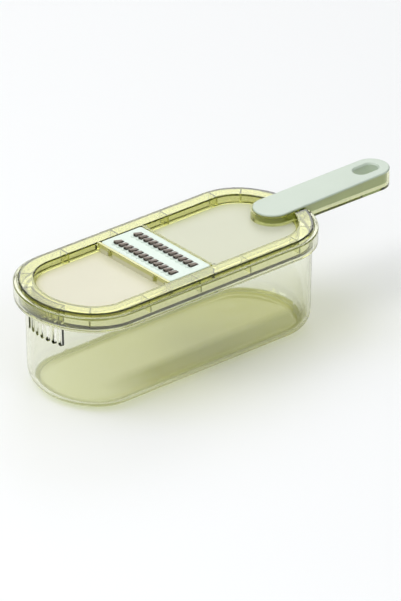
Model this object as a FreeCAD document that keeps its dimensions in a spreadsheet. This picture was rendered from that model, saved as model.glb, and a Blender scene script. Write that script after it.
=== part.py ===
"""Mandoline slicer: a clear drain box, a green frame with a handle, and a lift-out blade insert.

The frame has +X along the handle and +Z up. The origin is the centre of the box's flat base.
Every size is in millimetres and comes from the sheet below.
"""
import FreeCAD, Part
import math
import os

import Sketcher
from FreeCAD import Placement, Rotation, Vector

DIMENSIONS = {
    # plan outline of the frame: straight sides, round corners and a flatter round end
    "oval_half_length": 129.0, "oval_half_width": 55.0,
    "oval_end_radius": 62.0, "oval_corner_radius": 42.0,
    # drain box
    "box_rim_top": 86.9, "box_rim_bottom": 74.4, "box_ledge_top": 76.2,
    "box_rim_outset": 3.8, "box_mouth_outset": 0.4, "box_wall": 2.4, "box_floor": 2.6,
    "box_inset_top": 2.6, "box_draft": 1.0, "box_bottom_round": 15.0, "box_shift": 2.6,
    "box_edge_round": 0.9, "notch_half_width": 16.5, "notch_floor": 77.2,
    "drain_pitch": 6.2, "drain_count": 7, "drain_width": 3.3, "drain_top": 70.4, "drain_bottom": 54.5,
    # frame ring
    "ring_top": 89.5, "ring_bottom": 76.5, "ring_width": 12.35, "ring_plate": 2.0, "ring_wall": 1.8,
    "ring_inner_bottom": 78.4, "ring_edge_round": 0.8, "rib": 1.2, "rib_bottom": 78.9,
    "rib_first": -62.0, "rib_pitch": 49.5, "rib_count": 4, "end_rib_angle": 46.0,
    "seat_lip": 1.1, "seat_lip_height": 1.4, "seat_ledge": 1.6, "seat_gap": 0.05,
    # drain baffle at the end away from the handle
    "baffle_inset": 7.2, "baffle_wall": 1.5, "baffle_half_span": 20.0,
    "comb_pitch": 3.15, "comb_count": 12, "comb_rib": 0.7,
    # slicing beds
    "deck_top": 82.2, "deck_thickness": 2.2,
    # opening for the blade insert
    "cross_wall": 2.0, "insert_gap": 0.35, "insert_centre": -11.5, "insert_half_length": 20.3,
    "insert_half_width": 42.2, "insert_plate": 2.0, "insert_skirt": 1.6, "insert_skirt_bottom": 81.5,
    "insert_corner": 2.4, "insert_rest_bottom": 79.2, "insert_rest_width": 1.8,
    "catch_radius": 2.0, "catch_offset": 27.0, "catch_hole": 0.9, "catch_bottom": 84.9,
    "catch_top": 89.0, "post_bottom": 85.2, "post_side": 2.6,
    # teeth
    "row_offset": 9.8, "tooth_pitch": 5.95, "tooth_count": 12, "tooth_length": 7.6,
    "tooth_width": 3.1, "tooth_rise": 2.1, "tooth_heel": 0.25, "tooth_sheet": 0.5,
    "strip_length": 11.0, "strip_thickness": 0.6, "window_length": 8.6, "window_width": 3.7,
    "ramp_length": 3.0, "ramp_width": 2.8, "ramp_rise": 0.9,
    # handle
    "grip_inner_x": 106.6, "grip_outer_x": 209.0, "grip_inner_radius": 15.8, "grip_outer_radius": 14.8,
    "grip_top_inner": 91.0, "grip_top_outer": 92.8, "grip_base_inner": 78.6, "grip_base_outer": 76.9,
    "shell_wall": 1.8, "shell_floor": 2.2, "cap_plate": 1.4, "core_gap": 0.3, "core_lift": 4.8,
    "core_wall": 2.4, "hole_inner_x": 198.6, "hole_outer_x": 208.2, "hole_radius": 6.2,
    "hole_tube": 1.5, "hole_chamfer": 1.2, "cap_edge_round": 1.0, "shell_edge_round": 1.2,
    "socket_wall": 1.3, "socket_gap": 0.15, "socket_reach": 125.6,
}

doc = FreeCAD.newDocument("mandoline_slicer")
sheet = doc.addObject("Spreadsheet::Sheet", "Dimensions")
for row, (alias, number) in enumerate(DIMENSIONS.items(), start=1):
    sheet.set(f"A{row}", alias)
    sheet.set(f"B{row}", str(number))
    sheet.setAlias(f"B{row}", alias)
doc.recompute()

NODES = []


def size(alias):
    """The sheet's number for one alias."""
    return float(sheet.get(alias))


def bound(text):
    """An expression in which every sheet alias is written with a leading @."""
    return text.replace("@", "Dimensions.")


def number(text):
    """The value of such an expression, used to start a sketch close to its solution."""
    result = sheet.evalExpression(text.replace("@", ""))
    return float(getattr(result, "Value", result))


def new_body(label):
    body = doc.addObject("PartDesign::Body", label)
    body.Label = label
    NODES.append(body)
    return body


def new_sketch(body, name, plane="XY_Plane", height="0"):
    """A sketch on one of the body's own origin planes, moved along the plane's normal by height."""
    sketch = body.newObject("Sketcher::SketchObject", name)
    origin_plane = next(f for f in body.Origin.OriginFeatures if f.Role == plane)
    sketch.AttachmentSupport = [(origin_plane, "")]
    sketch.MapMode = "FlatFace"
    sketch.setExpression(".AttachmentOffset.Base.z", bound(height))
    doc.recompute()
    return sketch


def drive(sketch, kind, *place, text):
    """Add a dimension whose value follows the expression in text."""
    index = sketch.addConstraint(Sketcher.Constraint(kind, *place, number(text)))
    sketch.setExpression(f"Constraints[{index}]", bound(text))


def tangent_loop(sketch, ids):
    """Join the end of each edge to the start of the next, smoothly."""
    for this, following in zip(ids, ids[1:] + ids[:1]):
        sketch.addConstraint(Sketcher.Constraint("Tangent", this, 2, following, 1))


def draw_oval(sketch, inset="0", shift="0"):
    """The frame's plan outline, moved inwards by inset and along X by shift."""
    step, move = number(inset), number(shift)
    end, corner = size("oval_end_radius") - step, size("oval_corner_radius") - step
    end_x = size("oval_half_length") - size("oval_end_radius")
    corner_y = size("oval_half_width") - size("oval_corner_radius")
    corner_x = end_x + math.sqrt((end - corner) ** 2 - corner_y ** 2)
    turn = math.atan2(corner_y, corner_x - end_x)
    half_width = corner_y + corner

    def arc(centre_x, centre_y, radius, start, stop):
        circle = Part.Circle(Vector(centre_x + move, centre_y, 0), Vector(0, 0, 1), radius)
        return sketch.addGeometry(Part.ArcOfCircle(circle, start, stop))

    def side(from_x, to_x, level):
        ends = Vector(from_x + move, level, 0), Vector(to_x + move, level, 0)
        return sketch.addGeometry(Part.LineSegment(*ends))

    quarter, half = math.pi / 2, math.pi
    right = arc(end_x, 0, end, -turn, turn)
    back_right = arc(corner_x, corner_y, corner, turn, quarter)
    back = side(corner_x, -corner_x, half_width)
    back_left = arc(-corner_x, corner_y, corner, quarter, half - turn)
    left = arc(-end_x, 0, end, half - turn, half + turn)
    front_left = arc(-corner_x, -corner_y, corner, half + turn, half + quarter)
    front = side(-corner_x, corner_x, -half_width)
    front_right = arc(corner_x, -corner_y, corner, -quarter, -turn)
    tangent_loop(sketch, [right, back_right, back, back_left, left, front_left, front, front_right])
    for index in (right, left):
        drive(sketch, "Radius", index, text=f"@oval_end_radius - ({inset})")
        sketch.addConstraint(Sketcher.Constraint("PointOnObject", index, 3, -1))
    centre = "@oval_half_length - @oval_end_radius"
    drive(sketch, "DistanceX", -1, 1, right, 3, text=f"{centre} + ({shift})")
    drive(sketch, "DistanceX", left, 3, -1, 1, text=f"{centre} - ({shift})")
    for index in (back_right, back_left, front_left, front_right):
        drive(sketch, "Radius", index, text=f"@oval_corner_radius - ({inset})")
    rise = "@oval_half_width - @oval_corner_radius"
    for index in (back_right, back_left):
        drive(sketch, "DistanceY", -1, 1, index, 3, text=rise)
    for index in (front_left, front_right):
        drive(sketch, "DistanceY", index, 3, -1, 1, text=rise)


def draw_capsule(sketch, near, far, near_radius, far_radius):
    """A long round-ended outline on the X axis; its two ends may differ in radius."""
    near_x, far_x, near_r, far_r = (number(text) for text in (near, far, near_radius, far_radius))
    lean = math.asin((near_r - far_r) / (far_x - near_x))
    quarter = math.pi / 2
    up = Vector(math.sin(lean), math.cos(lean), 0)
    down = Vector(up.x, -up.y, 0)
    near_centre, far_centre = Vector(near_x, 0, 0), Vector(far_x, 0, 0)
    axis = Vector(0, 0, 1)
    tip = sketch.addGeometry(
        Part.ArcOfCircle(Part.Circle(far_centre, axis, far_r), lean - quarter, quarter - lean))
    back = sketch.addGeometry(
        Part.LineSegment(far_centre + up * far_r, near_centre + up * near_r))
    heel = sketch.addGeometry(
        Part.ArcOfCircle(Part.Circle(near_centre, axis, near_r), quarter - lean, 3 * quarter + lean))
    front = sketch.addGeometry(
        Part.LineSegment(near_centre + down * near_r, far_centre + down * far_r))
    tangent_loop(sketch, [tip, back, heel, front])
    for index, radius, centre in ((tip, far_radius, far), (heel, near_radius, near)):
        drive(sketch, "Radius", index, text=radius)
        sketch.addConstraint(Sketcher.Constraint("PointOnObject", index, 3, -1))
        drive(sketch, "DistanceX", -1, 1, index, 3, text=centre)


def draw_grip(sketch, outset="0"):
    draw_capsule(sketch, "@grip_inner_x", "@grip_outer_x",
                 f"@grip_inner_radius + ({outset})", f"@grip_outer_radius + ({outset})")


def draw_hang_hole(sketch, outset="0"):
    radius = f"@hole_radius + ({outset})"
    draw_capsule(sketch, "@hole_inner_x", "@hole_outer_x", radius, radius)


def draw_polygon(sketch, corners):
    """A closed outline through corners; each is a pair of expressions for its sketch X and Y."""
    points = [Vector(number(x), number(y), 0) for x, y in corners]
    ids = [sketch.addGeometry(Part.LineSegment(a, b)) for a, b in zip(points, points[1:] + points[:1])]
    for this, following in zip(ids, ids[1:] + ids[:1]):
        sketch.addConstraint(Sketcher.Constraint("Coincident", this, 2, following, 1))
    for index, pair in zip(ids, corners):
        for kind, text in zip(("DistanceX", "DistanceY"), pair):
            drive(sketch, kind, -1, 1, index, 1, text=text)


def draw_rectangle(sketch, low_x, high_x, low_y, high_y):
    draw_polygon(sketch, [(low_x, low_y), (high_x, low_y), (high_x, high_y), (low_x, high_y)])


def check_made(made):
    if "Invalid" in made.State or made.Shape.isNull():
        raise RuntimeError(f"{made.Name} failed: {made.getStatusString()}")
    return made


def feature(body, kind, name, sketch, length, reverse=False, taper=None, middle=False):
    """A Pad or a Pocket of a length; the volume has to change the way its kind says."""
    before = body.Tip.Shape.Volume if body.Tip and not body.Tip.Shape.isNull() else 0.0
    made = body.newObject(f"PartDesign::{kind}", name)
    made.Profile = sketch
    made.setExpression("Length", bound(length))
    made.Reversed = reverse
    made.Midplane = middle
    if taper:
        made.setExpression("TaperAngle", bound(taper))
    sketch.Visibility = False
    doc.recompute()
    check_made(made)
    change = made.Shape.Volume - before
    if change * (1 if kind == "Pad" else -1) <= 1e-3:
        raise RuntimeError(f"{body.Label}.{name} changed the volume by {change:.3f}")
    return made


def pad(body, name, draw, low, high, plane="XY_Plane", **options):
    """Draw a sketch at height low and pad it up to height high."""
    sketch = new_sketch(body, f"{name}_sketch", plane, low)
    draw(sketch)
    return feature(body, "Pad", name, sketch, f"({high}) - ({low})", **options)


def pocket(body, name, draw, low, high, plane="XY_Plane", **options):
    """Draw a sketch at height high and cut down to height low."""
    sketch = new_sketch(body, f"{name}_sketch", plane, high)
    draw(sketch)
    return feature(body, "Pocket", name, sketch, f"({high}) - ({low})", **options)


def repeat(body, name, features, axis, spacing, count):
    """A row of copies of features along one of the body's own axes."""
    pattern = body.newObject("PartDesign::LinearPattern", name)
    pattern.Originals = features
    line = next(f for f in body.Origin.OriginFeatures if f.Role == axis)
    pattern.Direction = (line, [""])
    pattern.Mode = "Spacing"
    pattern.setExpression("Offset", bound(spacing))
    pattern.setExpression("Occurrences", bound(count))
    body.Tip = pattern
    doc.recompute()
    return check_made(pattern)


def dress(body, kind, name, choose, amount):
    """Round or bevel the edges of the body's tip for which choose(edge) is true."""
    base = body.Tip
    names = [f"Edge{i}" for i, edge in enumerate(base.Shape.Edges, start=1) if choose(edge)]
    if not names:
        raise RuntimeError(f"{body.Label}.{name} found no edges")
    made = body.newObject(f"PartDesign::{kind}", name)
    made.Base = (base, names)
    made.setExpression("Radius" if kind == "Fillet" else "Size", bound(amount))
    doc.recompute()
    return check_made(made)


def level_edge(height, reach=0.0):
    """A test for edges that lie flat at a height, and further than reach from the long axis's middle."""
    def choose(edge):
        box = edge.BoundBox
        flat = abs(box.ZMin - height) < 0.01 and abs(box.ZMax - height) < 0.01
        return flat and max(abs(box.XMin), abs(box.XMax), abs(box.YMin), abs(box.YMax)) > reach
    return choose


def slant_points(level_inner, level_outer, far_level):
    """A four-sided outline in the XZ plane: a slanted edge along the handle, closed at far_level."""
    start, stop = "@grip_inner_x - @grip_inner_radius", "@grip_outer_x + @grip_outer_radius"
    slope = f"(({level_outer}) - ({level_inner})) / (({stop}) - ({start}))"
    margin = "10"
    return [
        (f"{start} - {margin}", f"({level_inner}) - {slope} * {margin}"),
        (f"{stop} + {margin}", f"({level_outer}) + {slope} * {margin}"),
        (f"{stop} + {margin}", far_level),
        (f"{start} - {margin}", far_level),
    ]


def slant_cut(body, name, level_inner, level_outer, far_level):
    """Cut away everything between a slanted plane along the handle and far_level."""
    sketch = new_sketch(body, f"{name}_sketch", "XZ_Plane")
    draw_polygon(sketch, slant_points(level_inner, level_outer, far_level))
    return feature(body, "Pocket", name, sketch, "4 * @oval_half_width", middle=True)


def draw_upright_slot(sketch, centre, low, high, radius):
    """A slot with round ends whose long axis is the sketch's Y axis."""
    x, low_y, high_y, r = (number(text) for text in (centre, low, high, radius))
    axis, half = Vector(0, 0, 1), math.pi
    top = sketch.addGeometry(Part.ArcOfCircle(Part.Circle(Vector(x, high_y, 0), axis, r), 0, half))
    left = sketch.addGeometry(Part.LineSegment(Vector(x - r, high_y, 0), Vector(x - r, low_y, 0)))
    bottom = sketch.addGeometry(
        Part.ArcOfCircle(Part.Circle(Vector(x, low_y, 0), axis, r), half, 2 * half))
    right = sketch.addGeometry(Part.LineSegment(Vector(x + r, low_y, 0), Vector(x + r, high_y, 0)))
    tangent_loop(sketch, [top, left, bottom, right])
    drive(sketch, "Radius", top, text=radius)
    drive(sketch, "DistanceX", -1, 1, top, 3, text=centre)
    drive(sketch, "DistanceX", -1, 1, bottom, 3, text=centre)
    drive(sketch, "DistanceY", -1, 1, top, 3, text=high)
    drive(sketch, "DistanceY", -1, 1, bottom, 3, text=low)


def make_container():
    """Clear drain box: a tapered vessel, a stepped rim band, drain slots and a notch for the handle."""
    body = new_body("container")
    top_inset = "@box_inset_top"
    base_inset = "@box_inset_top + @box_ledge_top * tan(@box_draft)"
    pad(body, "vessel", lambda s: draw_oval(s, base_inset, "@box_shift"), "0", "@box_ledge_top",
        taper="@box_draft")
    pad(body, "rim_band", lambda s: draw_oval(s, "-@box_rim_outset"), "@box_rim_bottom", "@box_rim_top")
    pocket(body, "mouth", lambda s: draw_oval(s, "-@box_mouth_outset"), "@box_ledge_top", "@box_rim_top")
    dress(body, "Fillet", "rim_round", level_edge(size("box_rim_top")), "@box_edge_round")
    dress(body, "Fillet", "skirt_round", level_edge(size("box_rim_bottom"), size("oval_half_width")),
          "@box_edge_round")
    pocket(body, "inside", lambda s: draw_oval(s, f"{top_inset} + @box_wall", "@box_shift"),
           "@box_floor", "@box_ledge_top", taper="-@box_draft")
    dress(body, "Fillet", "inside_round", level_edge(size("box_floor")), "@box_bottom_round - @box_wall")
    dress(body, "Fillet", "bottom_round", level_edge(0), "@box_bottom_round")

    sketch = new_sketch(body, "drain_slot_sketch", "YZ_Plane")
    draw_upright_slot(sketch, "-@drain_pitch * (@drain_count - 1) / 2",
                      "@drain_bottom + @drain_width / 2", "@drain_top - @drain_width / 2",
                      "@drain_width / 2")
    first = feature(body, "Pocket", "drain_slot", sketch, "2 * @oval_half_length")
    repeat(body, "drain_slots", [first], "Y_Axis", "@drain_pitch", "@drain_count")
    sketch = new_sketch(body, "handle_notch_sketch", "YZ_Plane")
    draw_rectangle(sketch, "-@notch_half_width", "@notch_half_width", "@notch_floor", "@ring_top")
    feature(body, "Pocket", "handle_notch", sketch, "2 * @oval_half_length", reverse=True)


CORNER_X = ("@oval_half_length - @oval_end_radius + sqrt("
            "(@oval_end_radius - @oval_corner_radius)^2 - (@oval_half_width - @oval_corner_radius)^2)")
CORNER_Y = "@oval_half_width - @oval_corner_radius"
END_X = "@oval_half_length - @oval_end_radius"


def draw_radial_bar(sketch, centre, angle, inner, outer, width):
    """A bar that points away from centre, between two radii; angle is in degrees from +X."""
    centre_x, centre_y = centre
    corners = []
    for radius, side in ((inner, -1), (outer, -1), (outer, 1), (inner, 1)):
        reach, half = f"({radius})", f"({side} * ({width}) / 2)"
        corners.append((f"({centre_x}) + cos({angle}) * {reach} - sin({angle}) * {half}",
                        f"({centre_y}) + sin({angle}) * {reach} + cos({angle}) * {half}"))
    draw_polygon(sketch, corners)


def draw_side_ribs(sketch):
    """Ribs across both straight sides, from the skirt to the inner wall."""
    outer, inner = "@oval_half_width - @ring_wall / 2", "@oval_half_width - @ring_width + @ring_wall / 2"
    for index in range(int(size("rib_count"))):
        centre = f"@rib_first + {index} * @rib_pitch"
        low_x, high_x = f"{centre} - @rib / 2", f"{centre} + @rib / 2"
        draw_rectangle(sketch, low_x, high_x, inner, outer)
        draw_rectangle(sketch, low_x, high_x, f"-({outer})", f"-({inner})")


def draw_end_ribs(sketch):
    """One rib across each of the four round corners."""
    inner = "@oval_corner_radius - @ring_width + @ring_wall / 2"
    outer = "@oval_corner_radius - @ring_wall / 2"
    places = ((1, 1, "@end_rib_angle"), (-1, 1, "180 - @end_rib_angle"),
              (-1, -1, "180 + @end_rib_angle"), (1, -1, "-@end_rib_angle"))
    for side_x, side_y, angle in places:
        centre = f"{side_x} * ({CORNER_X})", f"{side_y} * ({CORNER_Y})"
        draw_radial_bar(sketch, centre, f"({angle})", inner, outer, "@rib")


def draw_baffle(sketch):
    """A curved wall inside the ring, along the middle of the end away from the handle."""
    outer, inner = "@oval_end_radius - @baffle_inset", "@oval_end_radius - @baffle_inset - @baffle_wall"
    centre_x, outer_r, inner_r = -number(END_X), number(outer), number(inner)
    turn = math.asin(size("baffle_half_span") / outer_r)
    centre, axis = Vector(centre_x, 0, 0), Vector(0, 0, 1)

    def arc(radius):
        return sketch.addGeometry(
            Part.ArcOfCircle(Part.Circle(centre, axis, radius), math.pi - turn, math.pi + turn))
    outside, inside = arc(outer_r), arc(inner_r)
    for first, second in ((1, 1), (2, 2)):
        ends = sketch.getPoint(outside, first), sketch.getPoint(inside, second)
        line = sketch.addGeometry(Part.LineSegment(*ends))
        sketch.addConstraint(Sketcher.Constraint("Coincident", line, 1, outside, first))
        sketch.addConstraint(Sketcher.Constraint("Coincident", line, 2, inside, second))
        sign = 1 if first == 1 else -1
        for edge, point in ((outside, first), (inside, second)):
            drive(sketch, "DistanceY", -1, 1, edge, point, text=f"{sign} * @baffle_half_span")
    for edge, radius in ((outside, outer), (inside, inner)):
        drive(sketch, "Radius", edge, text=radius)
        sketch.addConstraint(Sketcher.Constraint("PointOnObject", edge, 3, -1))
        drive(sketch, "DistanceX", edge, 3, -1, 1, text=END_X)


def draw_baffle_ends_and_comb(sketch):
    """The two end walls of the drain pocket and the fine comb between the baffle and the skirt."""
    centre = f"-({END_X})", "0"
    inner = "@oval_end_radius - @baffle_inset - @baffle_wall / 2"
    outer = "@oval_end_radius - @ring_wall / 2"
    swing = "asin(@baffle_half_span / (@oval_end_radius - @baffle_inset))"
    for side in (-1, 1):
        draw_radial_bar(sketch, centre, f"(180 deg + {side} * {swing})", inner, outer, "@baffle_wall")
    count = int(size("comb_count"))
    for index in range(count):
        place = f"{index - (count - 1) / 2} * @comb_pitch / @oval_end_radius * 180 / pi"
        draw_radial_bar(sketch, centre, f"(180 + {place})", inner, outer, "@comb_rib")


def draw_socket(sketch, outset):
    """An outline round the handle's inner end, closed straight across near the ring's outer edge."""
    radius = f"@grip_inner_radius + ({outset})"
    r, centre_x, reach = number(radius), size("grip_inner_x"), size("socket_reach")
    circle = Part.Circle(Vector(centre_x, 0, 0), Vector(0, 0, 1), r)
    back = sketch.addGeometry(Part.LineSegment(Vector(reach, r, 0), Vector(centre_x, r, 0)))
    heel = sketch.addGeometry(Part.ArcOfCircle(circle, math.pi / 2, 3 * math.pi / 2))
    front = sketch.addGeometry(Part.LineSegment(Vector(centre_x, -r, 0), Vector(reach, -r, 0)))
    cross = sketch.addGeometry(Part.LineSegment(Vector(reach, -r, 0), Vector(reach, r, 0)))
    sketch.addConstraint(Sketcher.Constraint("Tangent", back, 2, heel, 1))
    sketch.addConstraint(Sketcher.Constraint("Tangent", heel, 2, front, 1))
    sketch.addConstraint(Sketcher.Constraint("Coincident", front, 2, cross, 1))
    sketch.addConstraint(Sketcher.Constraint("Coincident", cross, 2, back, 1))
    for index in (back, front):
        sketch.addConstraint(Sketcher.Constraint("Horizontal", index))
    sketch.addConstraint(Sketcher.Constraint("Vertical", cross))
    sketch.addConstraint(Sketcher.Constraint("PointOnObject", heel, 3, -1))
    drive(sketch, "Radius", heel, text=radius)
    drive(sketch, "DistanceX", -1, 1, heel, 3, text="@grip_inner_x")
    drive(sketch, "DistanceX", -1, 1, cross, 1, text="@socket_reach")


def insert_side(side, distance="0"):
    """The X of the insert opening's wall face on one side, moved outwards by distance."""
    return f"@insert_centre + {side} * (@insert_half_length + @insert_gap + {distance})"


def draw_cross_bars(sketch, start, stop, reach):
    """A bar across the ring on each side of the insert, from start to stop outside its opening."""
    for side in (-1, 1):
        ends = insert_side(side, start), insert_side(side, stop)
        low, high = ends if number(ends[0]) < number(ends[1]) else ends[::-1]
        draw_rectangle(sketch, low, high, f"-({reach})", reach)


def draw_posts(sketch):
    """Small square posts where the cross walls meet the ring."""
    wall = "@oval_half_width - @ring_width"
    for side in (-1, 1):
        ends = insert_side(side, "@cross_wall / 2"), insert_side(side, "@cross_wall + @post_side")
        low, high = ends if side > 0 else ends[::-1]
        draw_rectangle(sketch, low, high, f"{wall} - @post_side", f"{wall} + @ring_wall / 2")
        draw_rectangle(sketch, low, high, f"-({wall} + @ring_wall / 2)", f"-({wall} - @post_side)")


def draw_circles(sketch, centre_x, offset, radius):
    """Two equal circles at the same X, at Y plus and minus offset."""
    x, y, r = number(centre_x), number(offset), number(radius)
    for side in (-1, 1):
        index = sketch.addGeometry(Part.Circle(Vector(x, side * y, 0), Vector(0, 0, 1), r))
        drive(sketch, "Radius", index, text=radius)
        drive(sketch, "DistanceX", -1, 1, index, 3, text=centre_x)
        drive(sketch, "DistanceY", -1, 1, index, 3, text=f"{side} * {offset}")


def make_frame_ring():
    """Green frame: a hollow ring with ribs, the walls round the insert, a socket and a drain pocket."""
    body = new_body("frame_ring")
    low, top = "@ring_bottom", "@ring_top"
    under_plate = "@ring_top - @ring_plate / 2"
    pad(body, "ring_block", draw_oval, low, top)
    pocket(body, "ring_channel", lambda s: draw_oval(s, "@ring_wall"), low, "@ring_top - @ring_plate")
    pad(body, "inner_block", lambda s: draw_oval(s, "@ring_width - @ring_wall"), "@ring_inner_bottom", top)
    pocket(body, "bed_opening", lambda s: draw_oval(s, "@ring_width"), "@ring_inner_bottom", top)
    dress(body, "Fillet", "ring_round", level_edge(size("ring_top")), "@ring_edge_round")

    def inner_band(sketch, reach):
        draw_oval(sketch, "@ring_width - @ring_wall / 2")
        draw_oval(sketch, f"@ring_width + {reach}")
    pad(body, "bed_ledge", lambda s: inner_band(s, "@seat_ledge"),
        "@ring_inner_bottom", "@deck_top - @deck_thickness - @seat_gap")
    pad(body, "bed_lip", lambda s: inner_band(s, "@seat_lip"),
        "@deck_top + @seat_gap", "@deck_top + @seat_lip_height")
    pad(body, "side_ribs", draw_side_ribs, "@rib_bottom", under_plate)
    pad(body, "end_ribs", draw_end_ribs, "@rib_bottom", under_plate)
    pad(body, "drain_baffle", draw_baffle, low, under_plate)
    pad(body, "drain_comb", draw_baffle_ends_and_comb, low, under_plate)
    inner_half = "@oval_half_width - @ring_width + @ring_wall / 2"
    pad(body, "cross_walls", lambda s: draw_cross_bars(s, "0", "@cross_wall", inner_half),
        "@ring_inner_bottom", top)
    pad(body, "insert_rests", lambda s: draw_cross_bars(s, "-@insert_rest_width", "@cross_wall / 2",
                                                        inner_half),
        "@insert_rest_bottom", "@insert_skirt_bottom - @insert_gap")
    pocket(body, "insert_opening", lambda s: draw_rectangle(
        s, insert_side(-1), insert_side(1), f"-({inner_half} - @ring_wall / 2)",
        f"{inner_half} - @ring_wall / 2"), "@insert_skirt_bottom - @insert_gap", top)
    pad(body, "corner_posts", draw_posts, "@post_bottom", "@ring_top - @ring_edge_round")
    catch_x = insert_side(-1, "@cross_wall")
    pad(body, "catches", lambda s: draw_circles(s, catch_x, "@catch_offset", "@catch_radius"),
        "@catch_bottom", "@catch_top")
    hole_x = insert_side(-1, "@cross_wall + @catch_radius / 2")
    pocket(body, "catch_holes", lambda s: draw_circles(s, hole_x, "@catch_offset", "@catch_hole"),
           "@catch_top - @catch_radius", "@catch_top")
    pad(body, "socket", lambda s: draw_socket(s, "@socket_gap + @socket_wall"), "@ring_inner_bottom", top)
    pocket(body, "socket_opening", lambda s: draw_grip(s, "@socket_gap"),
           "@ring_bottom - 1", "@ring_top + 1")


def make_deck_plate(label, side):
    """A frosted slicing bed on one side of the insert; side is -1 away from the handle, 1 beside it."""
    body = new_body(label)
    low, top = "@deck_top - @deck_thickness", "@deck_top"
    pad(body, f"{label}_block", lambda s: draw_oval(s, "@ring_width + @seat_gap"), low, top)
    edge, reach = insert_side(side, "@cross_wall + @seat_gap"), "@oval_half_length"
    far_side = (f"-{reach}", edge) if side > 0 else (edge, reach)
    pocket(body, f"{label}_half", lambda s: draw_rectangle(s, *far_side, f"-{reach}", reach), low, top)
    if side > 0:
        pocket(body, f"{label}_socket_cut",
               lambda s: draw_grip(s, "@socket_gap + @socket_wall + @seat_gap"), low, top)


def slant_plane(body, name, level_inner, level_outer):
    """A datum plane that leans along the handle, through a level at each of the handle's two tips."""
    start, stop = "(@grip_inner_x - @grip_inner_radius)", "(@grip_outer_x + @grip_outer_radius)"
    slope = f"((({level_outer}) - ({level_inner})) / ({stop} - {start}))"
    plane = body.newObject("PartDesign::Plane", name)
    ground = next(f for f in body.Origin.OriginFeatures if f.Role == "XY_Plane")
    plane.AttachmentSupport = [(ground, "")]
    plane.MapMode = "FlatFace"
    plane.AttachmentOffset = Placement(Vector(0, 0, number(level_inner)), Rotation(Vector(0, 1, 0), 1))
    plane.setExpression(".AttachmentOffset.Base.z", bound(f"({level_inner}) - {slope} * {start}"))
    plane.setExpression(".AttachmentOffset.Rotation.Angle", bound(f"-atan({slope})"))
    doc.recompute()
    return plane


def cut_to_plane(body, name, draw, height, plane, upwards=False):
    """Cut a drawing from a height down, or up, to a slanted plane."""
    sketch = new_sketch(body, f"{name}_sketch", height=height)
    draw(sketch)
    before = body.Tip.Shape.Volume
    made = body.newObject("PartDesign::Pocket", name)
    made.Profile = sketch
    made.Type = "UpToFace"
    made.UpToFace = (plane, [""])
    made.Reversed = upwards
    sketch.Visibility = False
    doc.recompute()
    check_made(made)
    if made.Shape.Volume > before - 1:
        raise RuntimeError(f"{name} cut nothing")
    return made


TOP_LEVELS = "@grip_top_inner", "@grip_top_outer"
SEAM_LEVELS = "@grip_top_inner - @cap_plate", "@grip_top_outer - @cap_plate"
BASE_LEVELS = "@grip_base_inner", "@grip_base_outer"
FLOOR_LEVELS = "@grip_base_inner + @shell_floor", "@grip_base_outer + @shell_floor"
CORE_LEVELS = "@grip_base_inner + @core_lift", "@grip_base_outer + @core_lift"
BELOW_GRIP, ABOVE_GRIP = "@grip_base_outer - 12", "@grip_top_outer + 12"


def slant_edge(levels, outside_hole):
    """A test for edges on a slanted plane, either round the hang hole or round the whole handle."""
    start = size("grip_inner_x") - size("grip_inner_radius")
    stop = size("grip_outer_x") + size("grip_outer_radius")
    low, high = (number(level) for level in levels)
    reach = size("hole_radius") + size("hole_tube") + size("hole_chamfer")
    middle, half = (size("hole_inner_x") + size("hole_outer_x")) / 2, size("hole_radius") * 2.2

    def choose(edge):
        points = edge.discretize(5)
        slope = (high - low) / (stop - start)
        on_plane = all(abs(p.z - low - slope * (p.x - start)) < 0.02 for p in points)
        at_hole = all(abs(p.y) < reach and abs(p.x - middle) < half for p in points)
        return on_plane and at_hole != outside_hole
    return choose


def make_handle_shell():
    """Lower half of the handle: a clear green trough with a short tube round the hang hole."""
    body = new_body("handle_shell")
    pad(body, "shell_block", draw_grip, BELOW_GRIP, ABOVE_GRIP)
    slant_cut(body, "shell_base", *BASE_LEVELS, BELOW_GRIP)
    slant_cut(body, "shell_seam", *SEAM_LEVELS, ABOVE_GRIP)
    dress(body, "Fillet", "shell_round", slant_edge(BASE_LEVELS, outside_hole=True), "@shell_edge_round")
    floor = slant_plane(body, "shell_floor_plane", *FLOOR_LEVELS)
    tube_top = slant_plane(body, "tube_top_plane", *CORE_LEVELS)

    def trough(sketch):
        draw_grip(sketch, "-@shell_wall")
        draw_hang_hole(sketch, "@hole_tube")
    cut_to_plane(body, "trough", trough, ABOVE_GRIP, floor)
    cut_to_plane(body, "tube_top", lambda s: draw_hang_hole(s, "@hole_tube + @core_gap"),
                 ABOVE_GRIP, tube_top)
    pocket(body, "shell_hang_hole", draw_hang_hole, BELOW_GRIP, ABOVE_GRIP)


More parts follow.
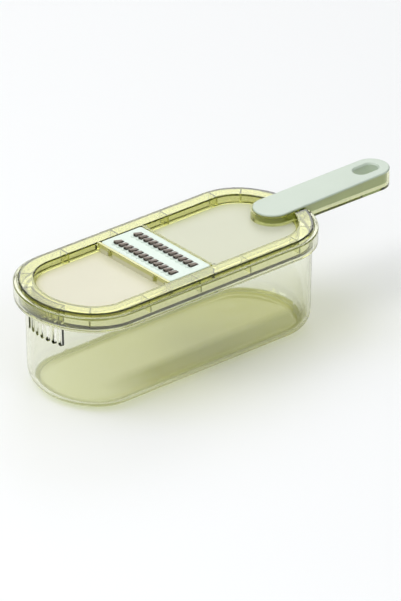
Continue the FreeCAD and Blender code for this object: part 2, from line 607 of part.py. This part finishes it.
def make_handle_cap():
    """Mint grip: a long plate with a core that drops into the shell, and the hang hole."""
    body = new_body("handle_cap")
    pad(body, "cap_block", draw_grip, BELOW_GRIP, ABOVE_GRIP)
    slant_cut(body, "core_base", *(f"{level} + @core_gap / 2" for level in CORE_LEVELS), BELOW_GRIP)
    slant_cut(body, "cap_top", *TOP_LEVELS, ABOVE_GRIP)
    seam = slant_plane(body, "seam_plane", *SEAM_LEVELS)

    def flange(sketch):
        draw_grip(sketch, "2 * @core_gap")
        draw_grip(sketch, "-@shell_wall - @core_gap")
    cut_to_plane(body, "flange", flange, BELOW_GRIP, seam, upwards=True)
    hollow_r = "@grip_outer_radius - @shell_wall - @core_gap - @core_wall"
    cut_to_plane(body, "core_hollow", lambda s: draw_capsule(
        s, "@grip_inner_x", "@hole_inner_x - 2 * @grip_outer_radius + @hole_radius", hollow_r, hollow_r),
        BELOW_GRIP, seam, upwards=True)
    pocket(body, "cap_hang_hole", draw_hang_hole, BELOW_GRIP, ABOVE_GRIP)
    dress(body, "Fillet", "cap_round", slant_edge(TOP_LEVELS, outside_hole=True), "@cap_edge_round")
    dress(body, "Chamfer", "hole_bevel", slant_edge(TOP_LEVELS, outside_hole=False), "@hole_chamfer")


def draw_rounded_rectangle(sketch, centre_x, half_x, half_y, radius):
    """A rectangle with round corners, centred on the X axis."""
    x, a, b, r = (number(text) for text in (centre_x, half_x, half_y, radius))
    quarter = math.pi / 2
    ids, arcs = [], []
    corners = ((1, 1, 0), (-1, 1, 1), (-1, -1, 2), (1, -1, 3))
    centres = [Vector(x + sx * (a - r), sy * (b - r), 0) for sx, sy, _ in corners]
    for (_, _, turn), centre, following in zip(corners, centres, centres[1:] + centres[:1]):
        circle = Part.Circle(centre, Vector(0, 0, 1), r)
        arcs.append(sketch.addGeometry(Part.ArcOfCircle(circle, turn * quarter, (turn + 1) * quarter)))
        out = Vector(math.cos((turn + 1) * quarter), math.sin((turn + 1) * quarter), 0) * r
        line = sketch.addGeometry(Part.LineSegment(centre + out, following + out))
        ids += [arcs[-1], line]
    tangent_loop(sketch, ids)
    for (sx, sy, _), index in zip(corners, arcs):
        drive(sketch, "Radius", index, text=radius)
        drive(sketch, "DistanceX", -1, 1, index, 3, text=f"{centre_x} + {sx} * ({half_x} - ({radius}))")
        drive(sketch, "DistanceY", -1, 1, index, 3, text=f"{sy} * ({half_y} - ({radius}))")


FIRST_TOOTH_Y = "-@tooth_pitch * (@tooth_count - 1) / 2"
ROWS = {"left": "(@insert_centre - @row_offset)", "right": "(@insert_centre + @row_offset)"}


def make_insert_plate():
    """Mint carrier: a flat plate with a skirt, a window for each tooth and a bump in front of each."""
    body = new_body("insert_plate")

    def outline(sketch, inset="0"):
        draw_rounded_rectangle(sketch, "@insert_centre", f"@insert_half_length - ({inset})",
                               f"@insert_half_width - ({inset})", f"@insert_corner - ({inset})")
    pad(body, "insert_block", outline, "@insert_skirt_bottom", "@ring_top")
    dress(body, "Fillet", "insert_round", level_edge(size("ring_top")), "@ring_edge_round")
    sketch = new_sketch(body, "insert_hollow_sketch", height="@insert_skirt_bottom")
    outline(sketch, "@insert_skirt")
    feature(body, "Pocket", "insert_hollow", sketch, "@ring_top - @insert_plate - @insert_skirt_bottom",
            reverse=True)

    def windows(sketch):
        for centre in ROWS.values():
            draw_rectangle(sketch, f"{centre} - @window_length / 2", f"{centre} + @window_length / 2",
                           f"{FIRST_TOOTH_Y} - @window_width / 2", f"{FIRST_TOOTH_Y} + @window_width / 2")
    window = pocket(body, "windows", windows, "@ring_top - @insert_plate - 1", "@ring_top")
    repeat(body, "window_rows", [window], "Y_Axis", "@tooth_pitch", "@tooth_count")
    bumps = []
    for side, centre in ROWS.items():
        bump = body.newObject("PartDesign::AdditiveEllipsoid", f"bump_{side}")
        ground = next(f for f in body.Origin.OriginFeatures if f.Role == "XY_Plane")
        bump.AttachmentSupport = [(ground, "")]
        bump.MapMode = "FlatFace"
        reach = f"{centre} - @window_length / 2 - @ramp_length / 2"
        bump.setExpression(".AttachmentOffset.Base.x", bound(reach))
        bump.setExpression(".AttachmentOffset.Base.y", bound(FIRST_TOOTH_Y))
        bump.setExpression(".AttachmentOffset.Base.z", bound("@ring_top"))
        bump.setExpression("Radius1", bound("@ramp_rise"))
        bump.setExpression("Radius2", bound("@ramp_length / 2"))
        bump.setExpression("Radius3", bound("@ramp_width / 2"))
        doc.recompute()
        bumps.append(check_made(bump))
    repeat(body, "bump_rows", bumps, "Y_Axis", "@tooth_pitch", "@tooth_count")


def make_tooth_strip(side):
    """Steel strip with a row of raised scoops, each open towards the drain side."""
    body = new_body(f"tooth_strip_{side}")
    centre = ROWS[side]
    strip_top = "@ring_top - @insert_plate - @seat_gap"
    half_row = "@tooth_pitch * @tooth_count / 2 + @tooth_width / 4"
    pad(body, f"strip_{side}", lambda s: draw_rectangle(
        s, f"{centre} - @strip_length / 2", f"{centre} + @strip_length / 2", f"-({half_row})", half_row),
        f"{strip_top} - @strip_thickness", strip_top)
    mouth, heel = f"{centre} - @tooth_length / 2", f"{centre} + @tooth_length / 2"
    lip, low = "@ring_top + @tooth_rise", "@ring_top + @tooth_heel"

    def wedge(name, kind, outline, width):
        sketch = new_sketch(body, f"{name}_sketch", "XZ_Plane", f"-({FIRST_TOOTH_Y})")
        draw_polygon(sketch, outline)
        return feature(body, kind, name, sketch, width, middle=True)
    scoop = wedge(f"scoop_{side}", "Pad", [
        (mouth, f"{strip_top} - @strip_thickness / 2"), (heel, f"{strip_top} - @strip_thickness / 2"),
        (heel, low), (mouth, lip)], "@tooth_width")
    drop = "@tooth_sheet"
    throat = wedge(f"throat_{side}", "Pocket", [
        (f"{mouth} - {drop}", f"{strip_top} - 2 * @strip_thickness"),
        (f"{heel} - {drop}", f"{strip_top} - 2 * @strip_thickness"),
        (f"{heel} - {drop}", f"{low} - {drop}"), (f"{mouth} - {drop}", f"{lip} - {drop} + 0.1")],
        "@tooth_width - 2 * @tooth_sheet")
    repeat(body, f"scoops_{side}", [scoop, throat], "Y_Axis", "@tooth_pitch", "@tooth_count")


def write_parts():
    """Check every object and write each node's shape to its own file."""
    doc.recompute()
    for item in doc.Objects:
        if {"Invalid", "Error"} & set(item.State):
            raise RuntimeError(f"{item.Label} failed: {item.State}")
    os.makedirs("parts", exist_ok=True)
    for node in NODES:
        if node.Shape.isNull() or not node.Shape.isValid():
            raise RuntimeError(f"{node.Label} has no valid shape")
        node.Shape.exportStep(f"parts/{node.Label}.step")
        print(node.Label, len(node.Shape.Solids), "solids", round(node.Shape.Volume), "mm3")


make_container()
make_frame_ring()
make_deck_plate("deck_plate_left", -1)
make_deck_plate("deck_plate_right", 1)
make_handle_shell()
make_handle_cap()
make_insert_plate()
make_tooth_strip("left")
make_tooth_strip("right")
write_parts()
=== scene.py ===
"""Looks for the mandoline slicer: clear, frosted and satin mint plastics and stamped steel."""

import math

import bpy
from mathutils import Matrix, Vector

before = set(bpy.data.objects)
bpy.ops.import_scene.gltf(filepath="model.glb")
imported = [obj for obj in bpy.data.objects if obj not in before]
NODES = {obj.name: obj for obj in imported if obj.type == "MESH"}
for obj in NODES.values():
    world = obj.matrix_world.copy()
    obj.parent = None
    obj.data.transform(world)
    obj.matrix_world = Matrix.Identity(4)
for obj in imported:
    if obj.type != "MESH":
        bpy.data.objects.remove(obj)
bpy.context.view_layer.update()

# Every length is in metres. A pair whose name ends in an axis is a fade along that axis: nothing at
# its first place, in full from its second.

# A rounded rectangle on the frame's sides and corners, by the middle and radius of its corners. The
# frame's two ends bulge up to 5 mm past it.
CORNER_X, CORNER_Y, CORNER_RADIUS = 0.0822, 0.013, 0.042
# The frame's dark edges of painted shade start this far inside that shape, and the box's rim line of
# painted shade this far outside.
EDGE_DEPTH = 0.001

# Lines of painted shade round the part, each from one height to another.
TOP_EDGE = 0.0881, 0.0893
FRAME_FOOT = 0.0760, 0.0774
RIM_LINE = 0.0858, 0.0866

# The wall beside the insert on the drain side, with painted light for what shows through it: its
# middle, half thickness and half length.
CROSS_WALL_X, CROSS_WALL_HALF, CROSS_WALL_REACH = -0.0331, 0.0012, 0.0424
CROSS_WALL_YELLOW_Z = 0.0855, 0.0867

# The box floor's olive painted shade, the painted shadow band along it, and the painted shade on its -Y
# lower rounding.
FLOOR_Z, FLOOR_X = (0.0046, 0.0034), (-0.06, 0.10)
SHADOW_BAND_X, SHADOW_BAND_LOW_Y, SHADOW_BAND_HIGH_Y = (-0.08, -0.03), (-0.046, -0.030), (-0.006, -0.018)
ROUNDING_X, ROUNDING_Y, ROUNDING_Z = (-0.07, -0.02), (0.0, -0.03), (0.018, 0.007)

# The teeth: spacing along Y, the middle of each row along X, and how far the rows reach.
TOOTH_PITCH = 0.00595
TOOTH_ROWS = -0.0213, -0.0017
ROW_HALF_WIDTH, ROW_REACH = 0.0040, 0.0357
# Where the middle of a slit of painted shade lies in one spacing, and its half width, as shares of the
# spacing.
SLIT_MIDDLE, SLIT_HALF = 0.15, 0.08
# The steel turns from painted shade, for the shade inside the scoops, to its own colour here, on both
# sides of the plate's surface.
STEEL_BRIGHT_Z = 0.0890, 0.0900

# The share of a clear plastic's transmission that each painted part takes away.
WALL_SOLID, EDGE_SOLID, FLOOR_SOLID, RIM_SOLID = 0.8, 0.85, 0.8, 0.6
ROUNDING_STRENGTH = 0.8

# Colours are linear red, green, blue and opacity.
CLEAR_TINT = (0.985, 0.99, 0.98, 1.0)
# Painted shade: a thin olive line along the box's rim.
RIM_SHADE_OLIVE = (0.30, 0.33, 0.08, 1.0)
# Painted shade on the box floor: olive at the drain end, deeper towards the handle, and a painted
# shadow band along it.
FLOOR_SHADE_DRAIN_END = (0.75, 0.75, 0.52, 1.0)
FLOOR_SHADE_HANDLE_END = (0.62, 0.62, 0.24, 1.0)
FLOOR_SHADOW_BAND = (0.38, 0.39, 0.08, 1.0)
GREEN_TINT = (0.90, 0.90, 0.70, 1.0)
# Painted shade: the dark lines round the frame's top and round its lower rim.
EDGE_SHADE = (0.035, 0.04, 0.008, 1.0)
# Painted light on the wall beside the insert: beige low down and yellow higher, for the deck and mint
# skirt seen through it.
WALL_LIGHT_BEIGE = (0.80, 0.77, 0.60, 1.0)
WALL_LIGHT_YELLOW = (0.72, 0.70, 0.30, 1.0)
GREEN_SHADOW = (0.93, 0.93, 0.80, 1.0)
BED_SHADOW = (0.75, 0.74, 0.62, 1.0)
# Painted shade in the slits beside the teeth.
SLIT_SHADE = (0.03, 0.025, 0.02, 1.0)
STEEL_SHADE = (0.02, 0.018, 0.015, 1.0)


# ---------------------------------------------------------------- camera, floor and lights

def add_camera():
    """A long lens beyond the drain end, looking down and towards the handle."""
    yaw, elevation = math.radians(39.96), math.radians(28.21)
    distance = 4.0734
    target = Vector((0.0076, -0.0308, 0.0546))
    view = Vector((math.sin(yaw) * math.cos(elevation),
                   math.cos(yaw) * math.cos(elevation),
                   -math.sin(elevation)))
    data = bpy.data.cameras.new("camera")
    data.sensor_fit = "HORIZONTAL"
    data.sensor_width = 36.0
    data.lens = 476.4
    data.clip_start = 0.1
    data.clip_end = 60.0
    camera = bpy.data.objects.new("camera", data)
    camera.location = target - view * distance
    camera.rotation_euler = view.to_track_quat("-Z", "Y").to_euler()
    bpy.context.scene.collection.objects.link(camera)
    bpy.context.scene.camera = camera


def add_area_light(name, place, target, width, height, power):
    """A white rectangular softbox at place that faces target."""
    data = bpy.data.lights.new(name, "AREA")
    data.shape = "RECTANGLE"
    data.size = width
    data.size_y = height
    data.energy = power
    light = bpy.data.objects.new(name, data)
    light.location = place
    facing = Vector(target) - Vector(place)
    light.rotation_euler = facing.to_track_quat("-Z", "Y").to_euler()
    bpy.context.scene.collection.objects.link(light)


def add_studio():
    """A pale floor, a room that is dark low down and bright above, and three softboxes."""
    world = bpy.data.worlds.new("studio")
    world.use_nodes = True
    tree = world.node_tree
    background = tree.nodes["Background"]
    background.inputs["Strength"].default_value = 0.55
    direction = tree.nodes.new("ShaderNodeTexCoord")
    height = tree.nodes.new("ShaderNodeSeparateXYZ")
    walls = tree.nodes.new("ShaderNodeValToRGB")
    walls.color_ramp.elements[0].position = 0.25
    walls.color_ramp.elements[0].color = (0.03, 0.03, 0.03, 1.0)
    walls.color_ramp.elements[1].position = 0.60
    walls.color_ramp.elements[1].color = (0.95, 0.98, 1.0, 1.0)
    tree.links.new(direction.outputs["Generated"], height.inputs["Vector"])
    tree.links.new(height.outputs["Z"], walls.inputs["Fac"])
    tree.links.new(walls.outputs["Color"], background.inputs["Color"])
    bpy.context.scene.world = world

    mesh = bpy.data.meshes.new("floor")
    reach = 6.0
    corners = [(-reach, -reach, 0), (reach, -reach, 0), (reach, reach, 0), (-reach, reach, 0)]
    mesh.from_pydata(corners, [], [(0, 1, 2, 3)])
    floor = bpy.data.objects.new("floor", mesh)
    floor.location = (0, 0, -0.0004)
    bpy.context.scene.collection.objects.link(floor)
    material = bpy.data.materials.new("floor_paint")
    material.use_nodes = True
    paint = material.node_tree.nodes["Principled BSDF"]
    paint.inputs["Base Color"].default_value = (0.93, 0.93, 0.93, 1.0)
    paint.inputs["Roughness"].default_value = 0.8
    paint.inputs["Specular IOR Level"].default_value = 0.1
    floor.data.materials.append(material)

    middle = (0.04, 0.0, 0.05)
    add_area_light("key_softbox", (-1.4, 0.6, 2.3), middle, width=2.2, height=2.2, power=47.0)
    add_area_light("front_softbox", (-0.3, -2.2, 1.8), middle, width=1.8, height=1.2, power=15.0)
    add_area_light("back_softbox", (1.6, 1.6, 1.6), middle, width=1.2, height=1.2, power=13.0)


# ---------------------------------------------------------------- material helpers

class Graph:
    """Short ways to add and join nodes in one material."""

    def __init__(self, name):
        self.material = bpy.data.materials.new(name)
        self.material.use_nodes = True
        self.tree = self.material.node_tree
        self.tree.nodes.clear()
        self.output = self.add("ShaderNodeOutputMaterial")

    def add(self, kind, **values):
        node = self.tree.nodes.new(kind)
        for key, value in values.items():
            setattr(node, key, value)
        return node

    def put(self, node, **values):
        """Set sockets by name; underscores in the name stand for spaces."""
        for key, value in values.items():
            node.inputs[key.replace("_", " ")].default_value = value
        return node

    def join(self, source, target):
        self.tree.links.new(source, target)

    def noise(self, scale, detail, stretch=None):
        """Noise in object space; scale is in features per metre."""
        place = self.add("ShaderNodeTexCoord")
        texture = self.put(self.add("ShaderNodeTexNoise"), Scale=scale, Detail=detail)
        if stretch:
            mapping = self.add("ShaderNodeMapping")
            mapping.inputs["Scale"].default_value = stretch
            self.join(place.outputs["Object"], mapping.inputs["Vector"])
            self.join(mapping.outputs["Vector"], texture.inputs["Vector"])
        else:
            self.join(place.outputs["Object"], texture.inputs["Vector"])
        return texture.outputs["Fac"]

    def bump(self, height, distance, strength):
        node = self.put(self.add("ShaderNodeBump"), Distance=distance, Strength=strength)
        self.join(height, node.inputs["Height"])
        return node.outputs["Normal"]

    def level(self, axis, fade):
        """Rises from 0 to 1 between the two places of fade, along one axis of the object."""
        start, end = fade
        node = self.put(self.add("ShaderNodeMapRange"), From_Min=start, From_Max=end)
        self.join(self.along(axis), node.inputs["Value"])
        return node.outputs["Result"]

    def math(self, operation, *values):
        """A math node; each value may be a socket or a plain number."""
        node = self.add("ShaderNodeMath", operation=operation)
        for socket, value in zip(node.inputs, values):
            if isinstance(value, (int, float)):
                socket.default_value = value
            else:
                self.join(value, socket)
        return node.outputs["Value"]

    def times(self, first, second):
        """The product of two sockets."""
        return self.math("MULTIPLY", first, second)

    def along(self, axis):
        """The object's own coordinate along an axis, in metres."""
        place = self.add("ShaderNodeTexCoord")
        parts = self.add("ShaderNodeSeparateXYZ")
        self.join(place.outputs["Object"], parts.inputs["Vector"])
        return parts.outputs[axis]

    def near(self, value, middle, reach):
        """1 where value lies within reach of middle, and 0 elsewhere."""
        return self.math("COMPARE", value, middle, reach)

    def beyond(self, axis, reach):
        """How far a point lies past reach from the middle, along one axis."""
        past = self.math("SUBTRACT", self.math("ABSOLUTE", self.along(axis)), reach)
        return self.math("MAXIMUM", past, 0.0)

    def outer_edge(self, heights, depth):
        """1 between two heights, from depth inside the rounded rectangle and outwards.

        A negative depth starts outside the rectangle.
        """
        low, high = heights
        across = self.beyond("X", CORNER_X)
        back = self.beyond("Y", CORNER_Y)
        squares = self.math("ADD", self.times(across, across), self.times(back, back))
        outside = self.math("GREATER_THAN", self.math("SQRT", squares), CORNER_RADIUS - depth)
        return self.times(outside, self.near(self.along("Z"), (low + high) / 2, (high - low) / 2))

    def blend(self, factor, first, second):
        """Blend two colours; each may be a socket or a plain colour."""
        node = self.add("ShaderNodeMix", data_type="RGBA")
        self.join(factor, node.inputs["Factor"])
        for name, colour in (("A", first), ("B", second)):
            socket = next(s for s in node.inputs if s.name == name and s.type == "RGBA")
            if isinstance(colour, tuple):
                socket.default_value = colour
            else:
                self.join(colour, socket)
        return next(s for s in node.outputs if s.type == "RGBA")

    def ramp(self, value, low, high):
        """Blend between two colours by a value from 0 to 1."""
        node = self.add("ShaderNodeValToRGB")
        node.color_ramp.elements[0].color = low
        node.color_ramp.elements[1].color = high
        self.join(value, node.inputs["Fac"])
        return node.outputs["Color"]

    def spread(self, value, low, high):
        """Map a value from 0..1 to low..high."""
        node = self.put(self.add("ShaderNodeMapRange"), To_Min=low, To_Max=high)
        self.join(value, node.inputs["Value"])
        return node.outputs["Result"]

    def pass_light(self, surface, colour):
        """Let shadow rays and soft bounce light through, tinted by colour."""
        path = self.add("ShaderNodeLightPath")
        clear = self.add("ShaderNodeBsdfTransparent")
        clear.inputs["Color"].default_value = colour
        for ray in ("Is Diffuse Ray", "Is Shadow Ray"):
            mix = self.add("ShaderNodeMixShader")
            self.join(path.outputs[ray], mix.inputs["Fac"])
            self.join(surface, mix.inputs[1])
            self.join(clear.outputs["BSDF"], mix.inputs[2])
            surface = mix.outputs["Shader"]
        self.join(surface, self.output.inputs["Surface"])

    def absorb(self, colour, density):
        """Even absorption inside the solid."""
        node = self.add("ShaderNodeVolumeAbsorption")
        node.inputs["Color"].default_value = colour
        node.inputs["Density"].default_value = density
        self.join(node.outputs["Volume"], self.output.inputs["Volume"])


def clear_plastic(name, tint, body, density, shadow):
    """Moulded transparent plastic: slight flow waviness, fine haze and a body colour."""
    g = Graph(name)
    shader = g.put(g.add("ShaderNodeBsdfPrincipled"), Base_Color=tint, IOR=1.49,
                   Transmission_Weight=1.0)
    haze = g.noise(scale=900.0, detail=2.0)
    g.join(g.spread(haze, 0.01, 0.04), shader.inputs["Roughness"])
    flow = g.noise(scale=28.0, detail=1.0)
    g.join(g.bump(flow, distance=0.0002, strength=0.06), shader.inputs["Normal"])
    g.pass_light(shader.outputs["BSDF"], shadow)
    g.absorb(body, density)
    return g, shader


def shade_green(g, shader):
    """Painted shade as dark edges round the ring, and painted light on the drain-side wall for what
    shows through it.
    """
    wall = g.times(g.near(g.along("X"), CROSS_WALL_X, CROSS_WALL_HALF),
                   g.near(g.along("Y"), 0.0, CROSS_WALL_REACH))
    # Painted light: beige low on the wall and yellow higher, for what shows through it.
    pale = g.blend(g.level("Z", CROSS_WALL_YELLOW_Z), WALL_LIGHT_BEIGE, WALL_LIGHT_YELLOW)
    # Painted shade: dark lines round the ring's top and round its lower rim.
    top_edge = g.outer_edge(TOP_EDGE, EDGE_DEPTH)
    foot = g.outer_edge(FRAME_FOOT, EDGE_DEPTH)
    edge = g.math("MAXIMUM", top_edge, foot)
    plain = g.blend(wall, GREEN_TINT, pale)
    g.join(g.blend(edge, plain, EDGE_SHADE), shader.inputs["Base Color"])
    solid = g.math("MAXIMUM", g.spread(wall, 0.0, WALL_SOLID), g.spread(edge, 0.0, EDGE_SOLID))
    g.join(g.math("SUBTRACT", 1.0, solid), shader.inputs["Transmission Weight"])


def shade_clear(g, shader):
    """Painted shade: an olive rim line, an olive floor deeper towards the handle, and a shadow band on
    its -Y side.
    """
    # The -Y lower rounding of the box takes the floor's painted shade too.
    beside = g.times(g.level("X", ROUNDING_X), g.level("Y", ROUNDING_Y))
    curve = g.times(g.level("Z", ROUNDING_Z), beside)
    rounding = g.times(curve, g.spread(curve, 0.0, ROUNDING_STRENGTH))
    low = g.math("MAXIMUM", g.level("Z", FLOOR_Z), rounding)
    # Painted shade on the floor, deeper towards the handle.
    olive = g.blend(g.level("X", FLOOR_X), FLOOR_SHADE_DRAIN_END, FLOOR_SHADE_HANDLE_END)
    # A painted shadow band along the floor, on its -Y side.
    sides = g.times(g.level("Y", SHADOW_BAND_LOW_Y), g.level("Y", SHADOW_BAND_HIGH_Y))
    band = g.times(sides, g.level("X", SHADOW_BAND_X))
    shade = g.blend(band, olive, FLOOR_SHADOW_BAND)
    floor = g.blend(low, CLEAR_TINT, shade)
    g.join(g.spread(low, 0.5, 0.1), shader.inputs["Specular IOR Level"])
    # Painted shade: an olive line along the rim.
    rim = g.outer_edge(RIM_LINE, -EDGE_DEPTH)
    g.join(g.blend(rim, floor, RIM_SHADE_OLIVE), shader.inputs["Base Color"])
    floor_solid = g.times(low, g.spread(low, 0.0, FLOOR_SOLID))
    solid = g.math("MAXIMUM", floor_solid, g.spread(rim, 0.0, RIM_SOLID))
    g.join(g.math("SUBTRACT", 1.0, solid), shader.inputs["Transmission Weight"])


def add_slit_shade(g, plain):
    """The plain colour with slits of painted shade on the plate beside the teeth."""
    phase = g.math("FRACT", g.math("DIVIDE", g.along("Y"), TOOTH_PITCH))
    rows = g.math("MAXIMUM", *(g.near(g.along("X"), row, ROW_HALF_WIDTH) for row in TOOTH_ROWS))
    beside_teeth = g.times(g.near(phase, SLIT_MIDDLE, SLIT_HALF), rows)
    slit = g.times(beside_teeth, g.near(g.along("Y"), 0.0, ROW_REACH))
    return g.blend(slit, plain, SLIT_SHADE)


def frosted_plastic(name, low, high):
    """Milky plastic with a fine grain, between two cloud colours."""
    g = Graph(name)
    shader = g.put(g.add("ShaderNodeBsdfPrincipled"), IOR=1.46, Transmission_Weight=0.25)
    cloud = g.noise(scale=14.0, detail=2.0)
    g.join(g.ramp(cloud, low, high), shader.inputs["Base Color"])
    grain = g.noise(scale=2600.0, detail=2.0)
    g.join(g.spread(grain, 0.38, 0.52), shader.inputs["Roughness"])
    g.join(g.bump(grain, distance=0.00004, strength=0.6), shader.inputs["Normal"])
    g.pass_light(shader.outputs["BSDF"], BED_SHADOW)
    return g.material


def mint_plastic(name, low, high, slits=False):
    """Satin opaque plastic, between two cloud colours, with or without slits of painted shade beside
    the teeth.
    """
    g = Graph(name)
    shader = g.put(g.add("ShaderNodeBsdfPrincipled"), IOR=1.49, Coat_Weight=0.15, Coat_Roughness=0.25)
    cloud = g.noise(scale=30.0, detail=2.0)
    colour = g.ramp(cloud, low, high)
    if slits:
        colour = add_slit_shade(g, colour)
    g.join(colour, shader.inputs["Base Color"])
    grain = g.noise(scale=3200.0, detail=2.0)
    g.join(g.spread(grain, 0.34, 0.46), shader.inputs["Roughness"])
    g.join(g.bump(grain, distance=0.00003, strength=0.5), shader.inputs["Normal"])
    g.join(shader.outputs["BSDF"], g.output.inputs["Surface"])
    return g.material


def brushed_steel(name):
    """Warm grey steel with fine streaks, with painted shade for the inside of the scoops up to the
    start of STEEL_BRIGHT_Z.
    """
    g = Graph(name)
    shader = g.put(g.add("ShaderNodeBsdfPrincipled"), Metallic=0.75)
    streaks = g.noise(scale=900.0, detail=3.0, stretch=(0.12, 3.0, 3.0))
    bright = g.ramp(streaks, (0.30, 0.24, 0.21, 1.0), (0.44, 0.37, 0.33, 1.0))
    # Painted shade below the plate's surface, for the shade inside the scoops.
    lifted = g.level("Z", STEEL_BRIGHT_Z)
    g.join(g.blend(lifted, STEEL_SHADE, bright), shader.inputs["Base Color"])
    g.join(g.spread(streaks, 0.32, 0.5), shader.inputs["Roughness"])
    g.join(g.bump(streaks, distance=0.00003, strength=0.5), shader.inputs["Normal"])
    g.join(shader.outputs["BSDF"], g.output.inputs["Surface"])
    return g.material


def dress_nodes():
    """Give every CAD node its material."""
    clear, clear_shader = clear_plastic("clear_plastic", tint=CLEAR_TINT, body=(0.76, 0.77, 0.44, 1.0),
                                        density=62.0, shadow=(0.95, 0.96, 0.93, 1.0))
    shade_clear(clear, clear_shader)
    green, green_shader = clear_plastic("green_plastic", tint=GREEN_TINT, body=(0.66, 0.67, 0.04, 1.0),
                                        density=190.0, shadow=GREEN_SHADOW)
    shade_green(green, green_shader)
    shell, _ = clear_plastic("shell_plastic", tint=(0.93, 0.94, 0.86, 1.0),
                             body=(0.66, 0.68, 0.10, 1.0), density=120.0, shadow=GREEN_SHADOW)
    left_bed = frosted_plastic("frosted_left", (0.76, 0.73, 0.58, 1.0), (0.82, 0.79, 0.65, 1.0))
    right_bed = frosted_plastic("frosted_right", (0.68, 0.69, 0.55, 1.0), (0.74, 0.75, 0.60, 1.0))
    mint = mint_plastic("mint_plastic", (0.70, 0.80, 0.71, 1.0), (0.74, 0.84, 0.75, 1.0), slits=True)
    grip = mint_plastic("grip_plastic", (0.52, 0.60, 0.50, 1.0), (0.57, 0.65, 0.55, 1.0))
    steel = brushed_steel("brushed_steel")
    finish = {"container": clear.material, "frame_ring": green.material, "handle_shell": shell.material,
              "deck_plate_left": left_bed, "deck_plate_right": right_bed, "handle_cap": grip,
              "insert_plate": mint, "tooth_strip_left": steel, "tooth_strip_right": steel}
    for name, material in finish.items():
        for place in NODES[name].material_slots:
            place.material = material


def set_render_looks():
    """Light paths deep enough for nested clear walls, and plain colour."""
    scene = bpy.context.scene
    scene.view_settings.view_transform = "Standard"
    scene.cycles.max_bounces = 40
    scene.cycles.transmission_bounces = 40
    scene.cycles.transparent_max_bounces = 40
    scene.cycles.glossy_bounces = 12
    scene.cycles.sample_clamp_indirect = 6.0
    scene.cycles.caustics_refractive = False
    scene.cycles.caustics_reflective = False


add_camera()
add_studio()
dress_nodes()
set_render_looks()
